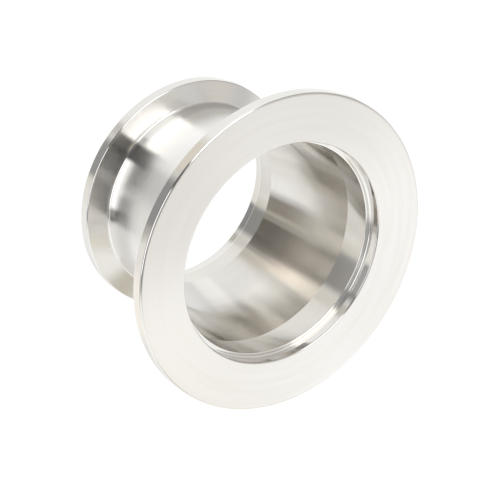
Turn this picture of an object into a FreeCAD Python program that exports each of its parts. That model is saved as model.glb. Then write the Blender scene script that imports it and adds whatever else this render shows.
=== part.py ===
"""Vacuum conical reducer: one turned piece with a small clamp flange at each end.

The part stands on its small flange. The small sealing face lies on z = 0, the axis is +Z and
the large sealing face is on top. Every length is in millimetres.
"""
import FreeCAD
import Part
import math
import os

# Overall
overall_length = 40.0
clamp_angle = 15.0

# Large flange, at the top
large_flange_diameter = 75.0
large_rim_thickness = 3.0
large_rim_round = 0.45
large_recess_diameter = 52.2
large_recess_depth = 3.0
large_neck_diameter = 55.0
large_bore_diameter = 50.0
large_bore_end = 10.0

# Small flange, at the bottom
small_flange_diameter = 55.0
small_rim_thickness = 2.7
small_rim_round = 0.35
small_recess_diameter = 41.2
small_recess_depth = 2.5
small_neck_diameter = 45.0
small_bore_diameter = 40.0
small_bore_end = 7.0

# Waist, the cone between the two necks
waist_start = 7.5
waist_end = 9.5
waist_small_blend = 16.0
waist_large_blend = 12.0

# Edges and inside corners
recess_mouth_round = 0.3
recess_floor_corner = 0.3
bore_edge_round = 0.25
neck_corner = 0.6
sharp = 0.0


def clamp_rise(outer_diameter, inner_diameter):
    """Height gained along the sloping back of a flange between two diameters."""
    width = (outer_diameter - inner_diameter) / 2
    return width * math.tan(math.radians(clamp_angle))


def half_section():
    """Corners of the half section as (diameter, height, corner radius), walked outside first."""
    small_back = small_rim_thickness
    small_neck_foot = small_back + clamp_rise(small_flange_diameter, small_neck_diameter)
    large_back = overall_length - large_rim_thickness
    large_neck_top = large_back - clamp_rise(large_flange_diameter, large_neck_diameter)
    large_floor = overall_length - large_recess_depth
    return [
        (small_recess_diameter, 0.0, recess_mouth_round),
        (small_flange_diameter, 0.0, small_rim_round),
        (small_flange_diameter, small_back, small_rim_round),
        (small_neck_diameter, small_neck_foot, neck_corner),
        (small_neck_diameter, waist_start, waist_small_blend),
        (large_neck_diameter, overall_length - waist_end, waist_large_blend),
        (large_neck_diameter, large_neck_top, neck_corner),
        (large_flange_diameter, large_back, large_rim_round),
        (large_flange_diameter, overall_length, large_rim_round),
        (large_recess_diameter, overall_length, recess_mouth_round),
        (large_recess_diameter, large_floor, recess_floor_corner),
        (large_bore_diameter, large_floor, bore_edge_round),
        (large_bore_diameter, overall_length - large_bore_end, sharp),
        (small_bore_diameter, small_bore_end, sharp),
        (small_bore_diameter, small_recess_depth, bore_edge_round),
        (small_recess_diameter, small_recess_depth, recess_floor_corner),
    ]


def rounded_corner(before, corner, after, radius):
    """Start, middle and end of the arc that rounds a corner, or the corner itself if sharp."""
    if radius == sharp:
        return [corner]
    back = (before - corner).normalize()
    ahead = (after - corner).normalize()
    half_angle = back.getAngle(ahead) / 2
    reach = radius / math.tan(half_angle)
    middle_reach = radius / math.sin(half_angle) - radius
    bisector = (back + ahead).normalize()
    return [corner + back * reach, corner + bisector * middle_reach, corner + ahead * reach]


def section_wire(corners):
    """Closed wire of straight edges and arcs in the XZ plane."""
    points = [FreeCAD.Vector(diameter / 2, 0, height) for diameter, height, radius in corners]
    count = len(points)
    rounded = []
    for index in range(count):
        before = points[index - 1]
        after = points[(index + 1) % count]
        radius = corners[index][2]
        rounded.append(rounded_corner(before, points[index], after, radius))
    edges = []
    for index in range(count):
        start = rounded[index]
        following = rounded[(index + 1) % count]
        if len(start) > 1:
            edges.append(Part.Arc(start[0], start[1], start[2]).toShape())
        edges.append(Part.LineSegment(start[-1], following[0]).toShape())
    return Part.Wire(edges)


def reducer():
    """The finished solid, turned about Z from its half section."""
    profile = Part.Face(section_wire(half_section()))
    centre = FreeCAD.Vector(0, 0, 0)
    axis = FreeCAD.Vector(0, 0, 1)
    return profile.revolve(centre, axis, 360)


os.makedirs("parts", exist_ok=True)
reducer().exportStep("parts/reducer_body.step")
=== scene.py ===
"""Vacuum conical reducer: the looks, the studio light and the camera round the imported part.

One turned stainless piece with a small clamp flange at each end stands on its small flange.
The sealing face of the small flange lies on z = 0 and the axis is +Z, as in the part's source.
Sizes are in millimetres in the classes and become metres where a mesh is made.
"""

import logging
import math
from dataclasses import dataclass
from enum import Enum

import bpy
import numpy as np
from mathutils import Matrix, Vector


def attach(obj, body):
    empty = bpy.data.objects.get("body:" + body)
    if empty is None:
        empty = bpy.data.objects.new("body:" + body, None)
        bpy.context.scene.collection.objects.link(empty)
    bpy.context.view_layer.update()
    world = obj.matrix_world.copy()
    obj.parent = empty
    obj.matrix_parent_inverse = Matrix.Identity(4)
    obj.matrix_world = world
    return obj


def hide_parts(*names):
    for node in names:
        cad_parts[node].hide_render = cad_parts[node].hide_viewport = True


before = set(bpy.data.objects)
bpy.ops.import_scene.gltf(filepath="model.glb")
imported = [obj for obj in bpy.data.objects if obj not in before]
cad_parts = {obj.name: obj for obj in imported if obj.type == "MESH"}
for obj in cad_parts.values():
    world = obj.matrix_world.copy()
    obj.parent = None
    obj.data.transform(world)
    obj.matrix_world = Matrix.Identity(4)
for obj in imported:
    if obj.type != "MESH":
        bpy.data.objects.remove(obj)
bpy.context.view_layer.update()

MILLIMETRE = 0.001
MICROMETRE = 0.000001
HALF_CIRCLE = 180.0
QUARTER_TURN = 0.25
TURNING_AXIS = (0.0, 0.0, 1.0)
TURNING_MAP = "turning"
SHARE_MAP = "share"
REPORT = logging.getLogger("reducer")


class Surface(Enum):
    """The surfaces that the lathe leaves, one finish each. The value is the material's place."""

    SEALING_FACE = 0
    RIM = 1
    CLAMP_BACK = 2
    NECK = 3
    WAIST = 4
    RECESS = 5
    BORE = 6
    CONE = 7
    EDGE = 8
    # Corner roundings of the recess floors and bore edges: polished, with a painted highlight in
    # their colour.
    POLISHED_EDGE = 9


@dataclass(frozen=True)
class Corner:
    """One corner of the half section.

    Attributes:
        diameter: Diameter at the corner, in millimetres.
        height: Height above the small sealing face, in millimetres.
        rounding: Radius of the corner, in millimetres, or 0 where it is sharp.
        run: The surface that starts here and goes to the next corner.
        turn: The surface of the rounding itself.
    """

    diameter: float
    height: float
    rounding: float
    run: Surface
    turn: Surface = Surface.EDGE


@dataclass(frozen=True)
class SectionLine:
    """The half section as a closed chain of points.

    Attributes:
        radius: Distance from the axis at each point, in millimetres.
        height: Height at each point, in millimetres.
        surface: Place of the material on the stretch that starts at each point.
    """

    radius: np.ndarray
    height: np.ndarray
    surface: np.ndarray


def rounded_corner(before: np.ndarray, corner: np.ndarray, after: np.ndarray,
                   radius: float, steps: int) -> np.ndarray:
    """Points on the arc that rounds a corner between two straight runs.

    The arc touches both runs at radius / tan(half the angle) from the corner. Each point is the
    arc's centre plus the radius along a direction turned evenly from the first run's normal to
    the second's.

    Args:
        before: The corner before this one, as (radius, height).
        corner: The corner to round.
        after: The corner after this one.
        radius: Radius of the arc, or 0 for a sharp corner.
        steps: Number of equal steps along the arc.

    Returns:
        An array of (radius, height) rows, one row only where the corner is sharp.
    """
    if radius == 0:
        return corner[None, :]
    back = (before - corner) / np.linalg.norm(before - corner)
    ahead = (after - corner) / np.linalg.norm(after - corner)
    half = math.acos(float(np.clip(back @ ahead, -1.0, 1.0))) / 2
    bisector = (back + ahead) / np.linalg.norm(back + ahead)
    centre = corner + bisector * (radius / math.sin(half))
    first = corner + back * (radius / math.tan(half)) - centre
    last = corner + ahead * (radius / math.tan(half)) - centre
    sweep = math.pi - 2 * half
    share = np.linspace(0.0, 1.0, steps + 1)[:, None]
    turned = first * np.sin((1 - share) * sweep) + last * np.sin(share * sweep)
    return centre + turned / math.sin(sweep)


@dataclass
class Reducer:
    """The turned body: its sizes, its surface of revolution and its finishes.

    The sizes are those of the part's source, in millimetres. Flanges, recesses, necks and bores
    are diameters.

    Attributes:
        turns: Faces on the way once round the axis.
        arc_step_degrees: Most that one step of a small rounding may bend, in degrees.
        blend_steps: Steps along each of the waist's two long roundings.
        guard: Distance from each end of a straight run to its guard point, in millimetres.
    """

    length: float = 40.0
    clamp_angle: float = 15.0
    large_flange: float = 75.0
    large_rim: float = 3.0
    large_rim_round: float = 0.45
    large_recess: float = 52.2
    large_recess_depth: float = 3.0
    large_neck: float = 55.0
    large_bore: float = 50.0
    large_bore_end: float = 10.0
    small_flange: float = 55.0
    small_rim: float = 2.7
    small_rim_round: float = 0.35
    small_recess: float = 41.2
    small_recess_depth: float = 2.5
    small_neck: float = 45.0
    small_bore: float = 40.0
    small_bore_end: float = 7.0
    waist_start: float = 7.5
    waist_end: float = 9.5
    waist_small_blend: float = 16.0
    waist_large_blend: float = 12.0
    mouth_round: float = 0.3
    floor_corner: float = 0.3
    bore_edge_round: float = 0.25
    neck_corner: float = 0.6
    turns: int = 360
    arc_step_degrees: float = 12.0
    blend_steps: int = 24
    guard: float = 0.04

    def clamp_rise(self, outer: float, inner: float) -> float:
        """Height gained along a flange's sloping back between two diameters."""
        return (outer - inner) / 2 * math.tan(math.radians(self.clamp_angle))

    def corners(self) -> list[Corner]:
        """The half section's corners.

        Returns:
            The corners, outside first, from the small face up and back down inside.
        """
        small_foot = self.small_rim + self.clamp_rise(self.small_flange, self.small_neck)
        large_back = self.length - self.large_rim
        large_top = large_back - self.clamp_rise(self.large_flange, self.large_neck)
        floor = self.length - self.large_recess_depth
        return [
            Corner(self.small_recess, 0.0, self.mouth_round, Surface.SEALING_FACE),
            Corner(self.small_flange, 0.0, self.small_rim_round, Surface.RIM),
            Corner(self.small_flange, self.small_rim, self.small_rim_round, Surface.CLAMP_BACK),
            Corner(self.small_neck, small_foot, self.neck_corner, Surface.NECK),
            Corner(self.small_neck, self.waist_start, self.waist_small_blend, Surface.WAIST,
                   Surface.WAIST),
            Corner(self.large_neck, self.length - self.waist_end, self.waist_large_blend,
                   Surface.NECK, Surface.WAIST),
            Corner(self.large_neck, large_top, self.neck_corner, Surface.CLAMP_BACK),
            Corner(self.large_flange, large_back, self.large_rim_round, Surface.RIM),
            Corner(self.large_flange, self.length, self.large_rim_round, Surface.SEALING_FACE),
            Corner(self.large_recess, self.length, self.mouth_round, Surface.RECESS),
            Corner(self.large_recess, floor, self.floor_corner, Surface.RECESS,
                   Surface.POLISHED_EDGE),
            Corner(self.large_bore, floor, self.bore_edge_round, Surface.BORE,
                   Surface.POLISHED_EDGE),
            Corner(self.large_bore, self.length - self.large_bore_end, 0.0, Surface.CONE),
            Corner(self.small_bore, self.small_bore_end, 0.0, Surface.BORE),
            Corner(self.small_bore, self.small_recess_depth, self.bore_edge_round,
                   Surface.RECESS, Surface.POLISHED_EDGE),
            Corner(self.small_recess, self.small_recess_depth, self.floor_corner,
                   Surface.RECESS, Surface.POLISHED_EDGE),
        ]

    def arc_steps(self, before: np.ndarray, corner: np.ndarray, after: np.ndarray,
                  rounding: float) -> int:
        """Number of steps for the arc that rounds a corner.

        The waist's long roundings have a fixed number. Any other arc has as many as keep its
        bend per step small, where the bend is half a circle less the angle between its runs.

        Args:
            before: The corner before this one, as (radius, height).
            corner: The corner to round.
            after: The corner after this one.
            rounding: Radius of the arc, in millimetres.

        Returns:
            The number of steps.
        """
        if rounding >= self.waist_large_blend:
            return self.blend_steps
        back, ahead = before - corner, after - corner
        cosine = float(back @ ahead / np.linalg.norm(back) / np.linalg.norm(ahead))
        bend = HALF_CIRCLE - math.degrees(math.acos(cosine))
        return math.ceil(bend / self.arc_step_degrees)

    def section(self) -> SectionLine:
        """The closed half section, with every arc cut into even steps.

        Each straight run has a guard point close to both of its ends, so that smooth shading
        stays flat on the run and turns only on the arc.

        Returns:
            The chain of points with the surface that each stretch belongs to.
        """
        corners = self.corners()
        points = np.array([(corner.diameter / 2, corner.height) for corner in corners])
        arcs = []
        for index, corner in enumerate(corners):
            before, after = points[index - 1], points[(index + 1) % len(points)]
            steps = self.arc_steps(before, points[index], after, corner.rounding)
            arcs.append(rounded_corner(before, points[index], after, corner.rounding, steps))
        chain, places = [], []
        for index, corner in enumerate(corners):
            arc, following = arcs[index], arcs[(index + 1) % len(arcs)]
            along = following[0] - arc[-1]
            along = along / np.linalg.norm(along) * self.guard
            run = [arc[-1] + along, following[0] - along]
            chain.append(np.vstack([arc, *run]))
            places += [corner.turn.value] * (len(arc) - 1) + [corner.run.value] * (len(run) + 1)
        line = np.vstack(chain)
        return SectionLine(line[:, 0], line[:, 1], np.array(places))

    def mesh(self) -> bpy.types.Mesh:
        """The body's skin: the half section carried once round the axis.

        A point of the skin is (r cos a, r sin a, z), where (r, z) runs along the section and a
        once round. The two directions make one grid of four-sided faces that closes both ways,
        so the skin has no seam and no pole. The turning map holds the turned angle and the
        distance along the section in millimetres.

        Returns:
            The mesh, in metres, with a material place on every face.
        """
        line = self.section()
        rows, turns = len(line.radius), self.turns
        angle = np.arange(turns) * (2 * math.pi / turns)
        places = np.stack([
            np.outer(line.radius, np.cos(angle)),
            np.outer(line.radius, np.sin(angle)),
            np.repeat(line.height[:, None], turns, axis=1),
        ], axis=-1) * MILLIMETRE
        row, turn = np.meshgrid(np.arange(rows), np.arange(turns), indexing="ij")
        next_row, next_turn = (row + 1) % rows, (turn + 1) % turns
        faces = np.stack([
            row * turns + turn,
            row * turns + next_turn,
            next_row * turns + next_turn,
            next_row * turns + turn,
        ], axis=-1).reshape(-1, 4)
        mesh = bpy.data.meshes.new("reducer_skin")
        mesh.from_pydata(places.reshape(-1, 3).tolist(), [], faces.tolist())
        mesh.polygons.foreach_set("material_index", np.repeat(line.surface, turns))
        mesh.shade_smooth()
        step = np.hypot(np.roll(line.radius, -1) - line.radius,
                        np.roll(line.height, -1) - line.height)
        reach = np.concatenate([[0.0], np.cumsum(step)])
        around = np.stack([turn, turn + 1, turn + 1, turn], axis=-1) / turns
        along = np.stack([reach[row], reach[row], reach[row + 1], reach[row + 1]], axis=-1)
        chart = mesh.uv_layers.new(name=TURNING_MAP)
        chart.data.foreach_set("uv", np.stack([around, along], axis=-1).ravel())
        mesh.update()
        return mesh

    def build(self) -> bpy.types.Object:
        """The body as one piece on the part's only body, in place of the plain solid.

        Returns:
            The piece, with one finish for each surface.
        """
        piece = bpy.data.objects.new("reducer_turned_body", self.mesh())
        bpy.context.scene.collection.objects.link(piece)
        for surface in Surface:
            piece.data.materials.append(FINISHES[surface].material())
        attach(piece, "root")
        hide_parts("reducer_body")
        return piece


class NodeBench:
    """A node tree with short ways to add the few kinds of node used here."""

    def __init__(self, tree: bpy.types.NodeTree) -> None:
        """Keeps the tree that the nodes go into."""
        self.tree = tree

    def feed(self, socket: bpy.types.NodeSocket, value: object) -> None:
        """Links a socket to another node's output, or sets it to a plain value."""
        if isinstance(value, bpy.types.NodeSocket):
            self.tree.links.new(value, socket)
        else:
            socket.default_value = value

    def add(self, kind: str, *values: object, **settings: object) -> bpy.types.Node:
        """One node of a kind.

        Args:
            kind: The node's type.
            values: Values or outputs for its inputs, in order. None leaves an input as it is.
            settings: Settings of the node itself.

        Returns:
            The node.
        """
        node = self.tree.nodes.new(kind)
        for name, setting in settings.items():
            setattr(node, name, setting)
        for socket, value in zip(node.inputs, values):
            if value is not None:
                self.feed(socket, value)
        return node

    def math(self, operation: str, *values: object) -> bpy.types.NodeSocket:
        """The result of a sum, product, angle and so on of numbers or outputs."""
        return self.add("ShaderNodeMath", *values, operation=operation).outputs[0]

    def vector(self, operation: str, *values: object) -> bpy.types.NodeSocket:
        """The vector that an operation on vectors gives."""
        return self.add("ShaderNodeVectorMath", *values, operation=operation).outputs[0]

    def ramp(self, value: object, low: object, high: object, first: float,
             last: float) -> bpy.types.NodeSocket:
        """A value carried smoothly from first to last as the input goes from low to high."""
        node = self.add("ShaderNodeMapRange", value, low, high, first, last,
                        interpolation_type="SMOOTHSTEP")
        return node.outputs[0]

    def blend(self, share: object, first: object, second: object) -> bpy.types.NodeSocket:
        """A mix of two colours.

        Args:
            share: Share of the second colour, from 0 to 1.
            first: Colour where the share is 0.
            second: Colour where the share is 1.

        Returns:
            The mixed colour.
        """
        node = self.tree.nodes.new("ShaderNodeMix")
        node.data_type = "RGBA"
        for name, value in (("Factor_Float", share), ("A_Color", first), ("B_Color", second)):
            socket = next(item for item in node.inputs if item.identifier == name)
            self.feed(socket, value)
        return next(item for item in node.outputs if item.identifier == "Result_Color")


@dataclass(frozen=True)
class TurnedFinish:
    """Stainless steel as a lathe leaves it.

    Attributes:
        name: Name of the material.
        roughness: Mean roughness of the shader.
        grain: How much wider the gloss spreads across the tool marks than along them.
        marks: Tool marks in one millimetre of the section.
        mark_depth: Depth of the tool marks, in micrometres.
        wander: How much the marks change on the way round.
        unevenness: Share by which the roughness varies from band to band.
        colour: Linear colour of the clean metal.
        tarnish: Linear colour of the slightly warmer bands.
        marks_in_band: Tool marks in one band of gloss and of tint.
        band_detail: Finer layers of noise in the bands.
        mark_detail: Finer layers of noise in the tool marks.
        tint_range: Noise at which the tint starts and ends its change.
        gloss_range: Noise at which the roughness starts and ends its change.
    """

    name: str
    roughness: float
    grain: float
    marks: float = 6.0
    mark_depth: float = 0.008
    wander: float = 1.5
    unevenness: float = 0.07
    colour: tuple[float, float, float] = (0.80, 0.79, 0.77)
    tarnish: tuple[float, float, float] = (0.79, 0.777, 0.755)
    marks_in_band: float = 8.0
    band_detail: float = 3.0
    mark_detail: float = 2.0
    tint_range: tuple[float, float] = (0.35, 0.65)
    gloss_range: tuple[float, float] = (0.25, 0.75)

    def material(self) -> bpy.types.Material:
        """The finish as a material.

        The marks are noise read along (turned direction x wander, distance along the section x
        marks), so that they run round the axis and drift slowly on the way. The same
        reading at a coarser pitch gives the bands of gloss and of tint.

        Returns:
            The material.
        """
        made = bpy.data.materials.new(self.name)
        made.use_nodes = True
        bench = NodeBench(made.node_tree)
        shader = made.node_tree.nodes["Principled BSDF"]
        place = bench.add("ShaderNodeTexCoord").outputs["Object"]
        round_axis = bench.vector("NORMALIZE", bench.vector("CROSS_PRODUCT", TURNING_AXIS, place))
        chart = bench.add("ShaderNodeUVMap", uv_map=TURNING_MAP).outputs["UV"]
        along = bench.add("ShaderNodeSeparateXYZ", chart).outputs["Y"]
        drift = bench.vector("MULTIPLY", round_axis, (self.wander, self.wander, 0.0))

        def rings(pitch: float, detail: float) -> bpy.types.NodeSocket:
            """Noise in rings round the axis.

            Args:
                pitch: Rings in one millimetre of the section.
                detail: Finer layers of noise in each ring.

            Returns:
                The noise, from 0 to 1.
            """
            climb = bench.add("ShaderNodeCombineXYZ", 0.0, 0.0, bench.math("MULTIPLY", along, pitch))
            noise = bench.add("ShaderNodeTexNoise", bench.vector("ADD", drift, climb.outputs[0]))
            noise.inputs["Scale"].default_value = 1.0
            noise.inputs["Detail"].default_value = detail
            return noise.outputs["Fac"]

        bands = rings(self.marks / self.marks_in_band, self.band_detail)
        marks = rings(self.marks, self.mark_detail)
        bench.feed(shader.inputs["Base Color"],
                   bench.blend(bench.ramp(bands, *self.tint_range, 0.0, 1.0),
                               (*self.colour, 1.0), (*self.tarnish, 1.0)))
        low, high = self.roughness * (1 - self.unevenness), self.roughness * (1 + self.unevenness)
        bench.feed(shader.inputs["Roughness"], bench.ramp(bands, *self.gloss_range, low, high))
        bump = bench.add("ShaderNodeBump")
        bump.inputs["Strength"].default_value = 1.0
        bump.inputs["Distance"].default_value = self.mark_depth * MICROMETRE
        bench.feed(bump.inputs["Height"], marks)
        bench.feed(shader.inputs["Normal"], bump.outputs["Normal"])
        bench.feed(shader.inputs["Tangent"], round_axis)
        shader.inputs["Metallic"].default_value = 1.0
        shader.inputs["Anisotropic"].default_value = self.grain
        shader.inputs["Anisotropic Rotation"].default_value = QUARTER_TURN
        return made


WARM_STEEL = (0.80, 0.783, 0.748)
WARM_TARNISH = (0.794, 0.775, 0.738)
# Brighter than steel can be: a painted highlight on the polished corner roundings of the recess
# floors and bore edges.
PAINTED_HIGHLIGHT_STEEL = (0.97, 0.96, 0.94)

FINISHES = {
    Surface.SEALING_FACE: TurnedFinish("steel_sealing_face", 0.15, 0.95, mark_depth=0.002,
                                       unevenness=0.05),
    Surface.RIM: TurnedFinish("steel_rim", 0.09, 0.9),
    Surface.CLAMP_BACK: TurnedFinish("steel_clamp_back", 0.11, 0.93),
    Surface.NECK: TurnedFinish("steel_neck", 0.10, 0.93),
    Surface.WAIST: TurnedFinish("steel_waist", 0.16, 0.95),
    Surface.RECESS: TurnedFinish("steel_recess", 0.05, 0.7),
    Surface.BORE: TurnedFinish("steel_bore", 0.16, 0.95, mark_depth=0.002, unevenness=0.03,
                               colour=WARM_STEEL, tarnish=WARM_TARNISH),
    Surface.CONE: TurnedFinish("steel_cone", 0.15, 0.93, mark_depth=0.002, unevenness=0.03,
                               colour=WARM_STEEL, tarnish=WARM_TARNISH),
    Surface.EDGE: TurnedFinish("steel_edge", 0.05, 0.3),
    # Its near-white colour is a painted highlight on the polished roundings.
    Surface.POLISHED_EDGE: TurnedFinish("steel_polished_edge_painted_highlight", 0.05, 0.3, colour=PAINTED_HIGHLIGHT_STEEL,
                                        tarnish=PAINTED_HIGHLIGHT_STEEL),
}


@dataclass
class PhotoCamera:
    """The camera of the photograph.

    Attributes:
        place: Where the camera stands, in metres.
        aim: A point on the line through the middle of the picture, in metres.
        roll: Turn about the view line, in degrees, from upright.
        focal_length: Focal length for the sensor width, in millimetres.
        sensor: Sensor width, in millimetres.
        nearest: Distance at which the camera starts to see, in metres.
        farthest: Distance at which it stops, in metres.
    """

    place: tuple[float, float, float] = (0.0, -0.464706, 0.532046)
    aim: tuple[float, float, float] = (0.003301, 0.009439, 0.020)
    roll: float = 122.6
    focal_length: float = 221.575
    sensor: float = 36.0
    nearest: float = 0.05
    farthest: float = 20.0

    def build(self) -> bpy.types.Object:
        """The camera, turned towards its aim and then rolled about the view line.

        Returns:
            The camera object, set as the scene's camera.
        """
        data = bpy.data.cameras.new("photo_camera")
        data.lens = self.focal_length
        data.sensor_width = self.sensor
        data.dof.use_dof = False
        data.clip_start = self.nearest
        data.clip_end = self.farthest
        camera = bpy.data.objects.new("photo_camera", data)
        upright = (Vector(self.aim) - Vector(self.place)).to_track_quat("-Z", "Y").to_matrix()
        rolled = upright @ Matrix.Rotation(math.radians(self.roll), 3, "Z")
        camera.matrix_world = Matrix.Translation(self.place) @ rolled.to_4x4()
        bpy.context.scene.collection.objects.link(camera)
        bpy.context.scene.camera = camera
        return camera


def glowing_paint(name: str, light: tuple[float, float, float]) -> bpy.types.Material:
    """A material that only gives light, and that a piece's "share" map can thin out.

    Args:
        name: Name of the material.
        light: Linear colour of the light.

    Returns:
        The material.
    """
    paint = bpy.data.materials.new(name)
    paint.use_nodes = True
    bench = NodeBench(paint.node_tree)
    paint.node_tree.nodes.clear()
    share = bench.add("ShaderNodeAttribute", attribute_name=SHARE_MAP).outputs["Fac"]
    clear = bench.add("ShaderNodeBsdfTransparent").outputs[0]
    glow = bench.add("ShaderNodeEmission", (*light, 1.0)).outputs[0]
    bench.add("ShaderNodeOutputMaterial",
              bench.add("ShaderNodeMixShader", share, clear, glow).outputs[0])
    return paint


def staged_sheet(name: str, places: np.ndarray, share: np.ndarray,
                 light: tuple[float, float, float]) -> bpy.types.Object:
    """A flat sheet of light that belongs to the stage and not to the part.

    Args:
        name: Name of the object.
        places: Grid of corner points in metres, as rows x columns x 3.
        share: Share of the light at each corner, from 0 for none to 1 for all.
        light: Linear colour of the light.

    Returns:
        The object.
    """
    rows, columns = places.shape[:2]
    first = (np.arange(rows - 1)[:, None] * columns + np.arange(columns - 1)).ravel()
    faces = np.stack([first, first + columns, first + columns + 1, first + 1], axis=-1)
    mesh = bpy.data.meshes.new(name)
    mesh.from_pydata(places.reshape(-1, 3).tolist(), [], faces.tolist())
    mesh.attributes.new(SHARE_MAP, "FLOAT", "POINT").data.foreach_set("value", share.ravel())
    mesh.materials.append(glowing_paint(name, light))
    sheet = bpy.data.objects.new(name, mesh)
    bpy.context.scene.collection.objects.link(sheet)
    return sheet


@dataclass(frozen=True)
class Floor:
    """A plain white floor that shines evenly, as an overexposed table does.

    Attributes:
        width: Length of each side, in metres.
        light: Linear colour of the light.
    """

    width: float = 4.0
    light: tuple[float, float, float] = (1.05, 1.05, 1.05)

    def build(self) -> bpy.types.Object:
        """The floor, which the steel doesn't mirror: the studio's panels stand for it there.

        Returns:
            The staged object.
        """
        side = np.array([-self.width, self.width]) / 2
        east, north = np.meshgrid(side, side)
        places = np.stack([east, north, np.zeros((2, 2))], axis=-1)
        floor = staged_sheet("studio_floor", places, np.ones((2, 2)), self.light)
        floor.visible_glossy = False
        return floor


@dataclass(frozen=True)
class GroundCard:
    """A glowing sector of the table that only the outside of the part mirrors.

    Attributes:
        name: Name of the object.
        azimuth: Middle of the sector, in degrees from +X towards +Y.
        width: Angle of the sector, in degrees.
        near: Distance of its inner edge from the axis, in millimetres.
        far: Distance of its outer edge, in millimetres.
        light: Linear colour of the light.
        lift: Height above the floor, in millimetres.
        edge: Part of the width and of the depth over which each edge fades.
        rows: Rows of corner points from the inner edge to the outer one.
        columns: Corner points from side to side in each row.
    """

    name: str
    azimuth: float
    width: float
    near: float
    far: float
    light: tuple[float, float, float]
    lift: float = 0.2
    edge: float = 0.25
    rows: int = 9
    columns: int = 25

    def build(self) -> bpy.types.Object:
        """The card, which the camera doesn't see.

        A point of the sector is (r cos a, r sin a), with a and r in even steps over its width and
        its depth. The share of light rises from 0 at each edge to 1 inside, in a straight line.

        Returns:
            The staged object.
        """
        across, along = np.meshgrid(np.linspace(0, 1, self.rows), np.linspace(0, 1, self.columns),
                                    indexing="ij")
        radius = self.near + (self.far - self.near) * across
        angle = np.radians(self.azimuth + self.width * (along - 0.5))
        places = np.stack([radius * np.cos(angle), radius * np.sin(angle),
                           np.full_like(radius, self.lift)], axis=-1) * MILLIMETRE
        inside = [np.minimum(1, np.minimum(run, 1 - run) / self.edge) for run in (across, along)]
        card = staged_sheet(self.name, places, inside[0] * inside[1], self.light)
        card.visible_camera = False
        return card


GROUND_CARDS = (
    GroundCard("white_ground_card", 212, 54, 76, 122, (1.7, 1.7, 1.7)),
    GroundCard("warm_ground_card", 12, 28, 75, 104, (1.1, 1.06, 0.94)),
    GroundCard("shade_ground_card", 324, 44, 76, 122, (0.46, 0.44, 0.41)),
    GroundCard("near_ground_card", 338, 50, 53, 80, (1.12, 1.08, 1.01)),
    GroundCard("brown_ground_card", 253, 28, 53, 80, (0.84, 0.79, 0.7)),
    GroundCard("dark_ground_card", 297, 14, 53, 80, (0.44, 0.42, 0.4), edge=0.5),
)


@dataclass(frozen=True)
class LightPanel:
    """One soft-edged part of the room that the steel mirrors, as seen from the part.

    Attributes:
        name: What the panel stands for.
        azimuth: Middle of the panel, in degrees from +X towards +Y.
        elevation: Middle of the panel above the horizon, in degrees.
        width: Angle from side to side, in degrees.
        height: Angle from bottom to top, in degrees.
        side_fade: Angle over which the sides fade, in degrees.
        end_fade: Angle over which the bottom and the top fade, in degrees.
        light: Linear colour of the light.
    """

    name: str
    azimuth: float
    elevation: float
    width: float
    height: float
    side_fade: float
    end_fade: float
    light: tuple[float, float, float]


def grey(level: float) -> tuple[float, float, float]:
    """Neutral light of one level."""
    return (level, level, level)


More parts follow.
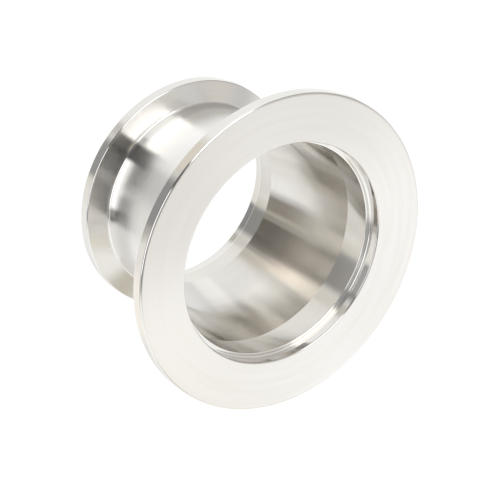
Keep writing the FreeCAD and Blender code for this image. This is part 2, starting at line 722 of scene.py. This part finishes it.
@dataclass(frozen=True)
class Studio:
    """The room round the part: panels painted one over the other on an even light.

    Attributes:
        base: Linear colour of the light where there is no panel.
        panels: The panels, from the lowest layer to the top one.
    """

    base: tuple[float, float, float] = (0.955, 0.945, 0.92)
    panels: tuple[LightPanel, ...] = (
        LightPanel("ceiling", 0, 84, 359, 24, 1, 12, grey(0.5)),
        LightPanel("ceiling edge", 352, 67, 192, 11, 16, 6, grey(0.46)),
        LightPanel("ceiling left", 150, 72, 108, 24, 26, 12, grey(0.98)),
        LightPanel("right upper light", 42, 53, 40, 12, 12, 6, (1.02, 1.01, 0.96)),
        LightPanel("upper wall", 142, 52, 84, 18, 14, 8, (0.71, 0.68, 0.65)),
        LightPanel("upper wall light", 129, 50, 16, 10, 8, 6, (0.77, 0.73, 0.69)),
        LightPanel("grey wall", 170, 10, 62, 56, 8, 5, (0.52, 0.5, 0.48)),
        LightPanel("grey wall side", 134, 8, 12, 58, 10, 10, (0.74, 0.72, 0.7)),
        LightPanel("grey wall foot", 148, -21, 62, 14, 16, 6, (0.62, 0.6, 0.57)),
        LightPanel("wall line", 166, 44, 50, 2, 8, 3, grey(0.56)),
        LightPanel("key glow", 229, 6, 42, 34, 10, 10, grey(1.12)),
        LightPanel("key top", 229, 64, 42, 10, 8, 6, grey(1.8)),
        LightPanel("key upper", 218, 55, 62, 12, 6, 5, grey(2.4)),
        LightPanel("key bar", 224, 46, 56, 7, 5, 4, (1.5, 1.42, 1.32)),
        LightPanel("key middle", 226, 40, 52, 6, 5, 4, grey(2.2)),
        LightPanel("key lower", 227, 33, 48, 14, 5, 6, grey(2.1)),
        LightPanel("key hem", 227, 22, 26, 8, 10, 5, grey(1.3)),
        LightPanel("key corner", 200, 22, 18, 12, 8, 6, grey(0.6)),
        LightPanel("key end", 249, 19, 7, 12, 4, 6, grey(0.5)),
        LightPanel("behind camera", 304, 55.5, 108, 19, 6, 4, grey(0.12)),
        LightPanel("behind camera left", 268, 57, 34, 14, 8, 6, grey(0.03)),
        LightPanel("behind camera middle", 309, 55, 14, 10, 8, 6, grey(0.28)),
        LightPanel("behind camera right", 338, 54, 22, 8, 6, 5, grey(0.2)),
        LightPanel("light strip", 303, 43, 98, 7, 8, 3, grey(0.8)),
        LightPanel("light strip left", 277, 42, 38, 8, 10, 4, grey(0.42)),
        LightPanel("light strip line", 287, 43.5, 28, 3, 8, 2, grey(1)),
        LightPanel("light strip middle", 303, 40, 12, 18, 8, 8, grey(0.98)),
        LightPanel("light strip right", 329, 44, 26, 8, 8, 4, grey(0.64)),
        LightPanel("dark lintel", 280, 38, 46, 9, 6, 5, grey(0.36)),
        LightPanel("dark lintel right", 321, 36, 18, 12, 6, 5, grey(0.44)),
        LightPanel("dark jamb left", 264, 12, 20, 62, 5, 6, grey(0.14)),
        LightPanel("window", 299, 8, 52, 40, 5, 5, grey(1.32)),
        LightPanel("window top", 299, 19, 48, 14, 6, 6, (1.95, 1.95, 2.05)),
        LightPanel("window lintel", 296, 31, 30, 6, 8, 5, grey(1.05)),
        LightPanel("window left", 280, 16, 10, 12, 6, 8, grey(1.9)),
        LightPanel("dark jamb right", 333, 31, 12, 22, 4, 6, grey(0.08)),
        LightPanel("jamb right foot", 332, -13, 14, 6, 5, 4, grey(0.3)),
        LightPanel("dark jamb right top", 340, 40, 12, 10, 6, 6, grey(0.48)),
        LightPanel("jamb right low", 330, 6, 8, 36, 5, 6, grey(0.66)),
        LightPanel("right wall", 360, 12, 36, 42, 6, 12, grey(1.2)),
        LightPanel("right wall top", 8, 43, 36, 12, 12, 6, grey(1)),
        LightPanel("right wall line", 20, 47.5, 56, 6, 12, 3, grey(1.02)),
        LightPanel("under window", 302, -15, 52, 7, 6, 4, (0.3, 0.27, 0.23)),
        LightPanel("camera side edge", 246, -26, 26, 30, 14, 10, (0.74, 0.69, 0.6)),
        LightPanel("camera side top", 256, -16, 28, 8, 8, 4, grey(0.3)),
        LightPanel("camera side", 276, -22, 38, 13, 8, 4, (0.03, 0.025, 0.018)),
        LightPanel("camera side right", 308, -21, 26, 17, 7, 4, (0.19, 0.17, 0.14)),
        LightPanel("streak left", 256, -21, 4, 14, 3, 4, grey(0.26)),
        LightPanel("streak middle", 301, -22, 5, 14, 4, 4, (0.47, 0.44, 0.38)),
        LightPanel("streak right", 325, -22, 8, 14, 8, 4, grey(0.56)),
        LightPanel("seam", 286, -29.5, 60, 3.4, 10, 2.6, (0.8, 0.74, 0.65)),
        LightPanel("camera side low", 283, -37, 38, 11, 12, 4, (0.07, 0.06, 0.045)),
        LightPanel("camera side low right", 308, -37, 16, 10, 8, 4, (0.3, 0.27, 0.23)),
        LightPanel("camera low", 286, -47, 42, 9, 14, 4, grey(0.31)),
        LightPanel("low seam", 288, -44.5, 28, 2.5, 6, 2, grey(0.46)),
        LightPanel("camera low left", 254, -48, 14, 9, 8, 5, (0.58, 0.56, 0.52)),
        LightPanel("camera low right", 312, -48, 13, 10, 8, 5, (0.92, 0.9, 0.84)),
        LightPanel("camera low shade", 336, -48, 30, 12, 12, 6, (0.95, 0.93, 0.88)),
        LightPanel("right low light", 335, -28, 20, 8, 8, 4, grey(1.42)),
        LightPanel("right low line", 350, -42, 50, 5, 14, 3, grey(0.45)),
        LightPanel("right low shade", 330, -35, 40, 7, 14, 4, grey(0.42)),
        LightPanel("camera foot", 288, -57, 44, 10, 20, 5, grey(0.18)),
        LightPanel("camera foot low", 288, -67, 50, 14, 34, 12, grey(0.58)),
        LightPanel("lamp", 56, -28, 26, 18, 7, 6, (2.2, 2.05, 1.9)),
        LightPanel("lamp glow", 64, -17, 26, 12, 10, 8, (1.65, 1.4, 1.22)),
        LightPanel("low right glow", 16, -20, 60, 11, 16, 5, grey(1.18)),
        LightPanel("low right", 1, -19, 34, 13, 12, 5, grey(1.55)),
        LightPanel("low right end", 344, -22, 20, 14, 10, 5, grey(1.15)),
        LightPanel("low right shade", 6, -34, 68, 7, 12, 5, (0.62, 0.6, 0.57)),
        LightPanel("low right below", 13, -38.5, 34, 5, 12, 4, grey(1.02)),
        LightPanel("low right below end", 347, -38, 22, 6, 10, 4, grey(0.5)),
        LightPanel("low right patch", 24, -27, 24, 6, 8, 4, grey(1.55)),
        LightPanel("low right foot", 358, -48, 32, 8, 14, 5, (0.98, 0.97, 0.94)),
        LightPanel("wood", 104, -23, 62, 12, 8, 4, (0.3, 0.25, 0.19)),
        LightPanel("wood below", 108, -34, 60, 12, 8, 5, (0.82, 0.78, 0.72)),
        LightPanel("face light", 90, 18, 20, 46, 8, 10, (1.15, 1.14, 1.11)),
        LightPanel("face dark", 86, 60, 34, 16, 10, 5, (0.5, 0.44, 0.38)),
        LightPanel("face dark right", 108, 49, 22, 14, 8, 6, (0.68, 0.66, 0.63)),
        LightPanel("face light top", 90, 39, 16, 15, 8, 4, grey(1.4)),
        LightPanel("face left", 72, 46, 22, 20, 8, 8, (1.17, 1.13, 1.05)),
        LightPanel("face light right", 101, 62, 10, 10, 6, 6, (0.66, 0.64, 0.57)),
        LightPanel("face shade", 55, 41, 18, 9, 6, 4, (0.62, 0.58, 0.49)),
        LightPanel("far shade", 130, 41, 22, 7, 8, 5, grey(0.66)),
        LightPanel("left low shade", 212, -21, 52, 9, 14, 5, grey(0.74)),
        LightPanel("low left", 213, -26.5, 52, 6, 14, 3, grey(1.24)),
        LightPanel("low left foot", 218, -34.5, 66, 9, 14, 4, grey(0.7)),
        LightPanel("low left light", 183, -32, 24, 7, 8, 5, grey(1.3)),
        LightPanel("floor line", 175, -48, 130, 6, 20, 4, (1.06, 1.06, 1.05)),
        LightPanel("far low shade", 98, -48, 22, 8, 12, 4, grey(0.8)),
        LightPanel("floor line right", 26, -49, 24, 6, 12, 3, grey(0.94)),
        LightPanel("under left", 222, -66, 76, 13, 18, 6, grey(1.16)),
        LightPanel("under ring", 200, -57, 124, 6, 20, 4, grey(1.2)),
        LightPanel("under far left", 160, -62, 44, 6, 12, 5, grey(1.05)),
        LightPanel("under right", 4, -57, 64, 12, 18, 6, (1.17, 1.17, 1.18)),
        LightPanel("low back foot", 164, -45, 34, 7, 12, 5, (1.02, 1.04, 0.99)),
        LightPanel("low back", 156, -35, 34, 12, 12, 6, (0.96, 0.97, 0.99)),
        LightPanel("under left top", 186, -67, 40, 7, 12, 5, grey(1.2)),
    )

    def painter(self) -> bpy.types.NodeTree:
        """The node group that paints one panel over the light below it.

        The panel's share of the light is the product of two smooth steps: one of the angle from
        the panel's middle round the axis, and one of the angle up or down from its middle.

        Returns:
            The group.
        """
        group = bpy.data.node_groups.new("panel_painter", "ShaderNodeTree")
        for name in ("Below", "Light"):
            group.interface.new_socket(name, in_out="INPUT", socket_type="NodeSocketColor")
        for name in ("Azimuth", "Elevation", "Middle", "Level", "Side Out", "Side In", "End Out",
                     "End In"):
            group.interface.new_socket(name, in_out="INPUT", socket_type="NodeSocketFloat")
        group.interface.new_socket("Light", in_out="OUTPUT", socket_type="NodeSocketColor")
        bench = NodeBench(group)
        given = bench.add("NodeGroupInput").outputs
        turn = bench.math("SUBTRACT", given["Azimuth"], given["Middle"])
        aside = bench.math("ABSOLUTE", bench.math("WRAP", turn, HALF_CIRCLE, -HALF_CIRCLE))
        climb = bench.math("SUBTRACT", given["Elevation"], given["Level"])
        sides = bench.ramp(aside, given["Side Out"], given["Side In"], 0.0, 1.0)
        ends = bench.ramp(bench.math("ABSOLUTE", climb), given["End Out"], given["End In"], 0.0, 1.0)
        share = bench.math("MULTIPLY", sides, ends)
        bench.add("NodeGroupOutput", bench.blend(share, given["Below"], given["Light"]))
        return group

    def build(self) -> bpy.types.World:
        """The world that lights the part and that the steel mirrors.

        Each panel is painted over the light below it, read by the azimuth and the elevation, in
        degrees, of the direction that is looked at.

        Returns:
            The world, set as the scene's world.
        """
        world = bpy.data.worlds.new("studio")
        bpy.context.scene.world = world
        world.use_nodes = True
        bench = NodeBench(world.node_tree)
        way = bench.add("ShaderNodeTexCoord").outputs["Generated"]
        parts = bench.add("ShaderNodeSeparateXYZ", way).outputs
        azimuth = bench.math("DEGREES", bench.math("ARCTAN2", parts["Y"], parts["X"]))
        elevation = bench.math("DEGREES", bench.math("ARCSINE", parts["Z"]))
        painter = self.painter()
        light: object = (*self.base, 1.0)
        for panel in self.panels:
            node = bench.add("ShaderNodeGroup", node_tree=painter)
            values = (light, (*panel.light, 1.0), azimuth, elevation, panel.azimuth, panel.elevation,
                      (panel.width + panel.side_fade) / 2, (panel.width - panel.side_fade) / 2,
                      (panel.height + panel.end_fade) / 2, (panel.height - panel.end_fade) / 2)
            for socket, value in zip(node.inputs, values):
                bench.feed(socket, value)
            light = node.outputs["Light"]
        bench.feed(world.node_tree.nodes["Background"].inputs["Color"], light)
        return world


def main() -> None:
    """Builds the body, the floor, the ground cards, the light and the camera, and reports the body's
    faces and the studio's panels.
    """
    logging.basicConfig(level=logging.INFO, format="%(name)s: %(message)s")
    bpy.context.scene.view_settings.view_transform = "Standard"
    body = Reducer().build()
    REPORT.info("%s: %d faces", body.name, len(body.data.polygons))
    Floor().build()
    for card in GROUND_CARDS:
        card.build()
    PhotoCamera().build()
    studio = Studio()
    studio.build()
    REPORT.info("studio: %d panels", len(studio.panels))


if __name__ == "__main__":
    main()
